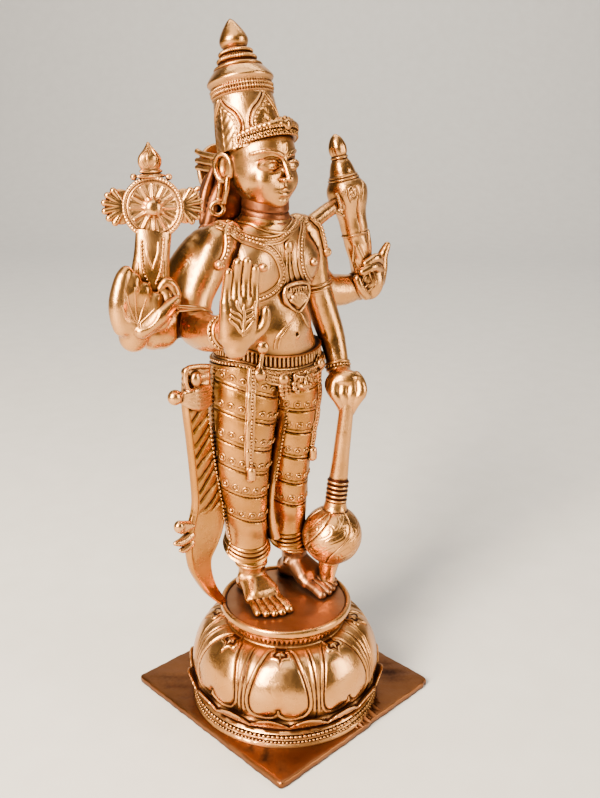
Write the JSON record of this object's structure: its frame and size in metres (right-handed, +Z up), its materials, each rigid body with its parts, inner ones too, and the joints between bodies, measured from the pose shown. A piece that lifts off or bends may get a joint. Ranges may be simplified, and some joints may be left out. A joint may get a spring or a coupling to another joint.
{
  "type": "vishnu figure",
  "caption": "Cast bronze Vishnu figure standing on a lotus pedestal with a square plate, holding wheel, conch and mace, with a hand raised palm outwards.",
  "frame": {"origin": "middle of the square plate's underside", "axes": "+Z up along the figure's height, the figure faces -Y, +X towards the figure's left hand side"},
  "size_m": [0.1139, 0.0782, 0.2309],
  "materials": {
    "pedestal_bronze": "polished copper-toned bronze, brown patina in the recesses and on the plate",
    "figure_bronze": "polished copper-toned bronze, brown patina in the recesses"
  },
  "bodies": {
    "root": {"pedestal": "pedestal_bronze", "figure": "figure_bronze"}
  },
  "joints": []
}
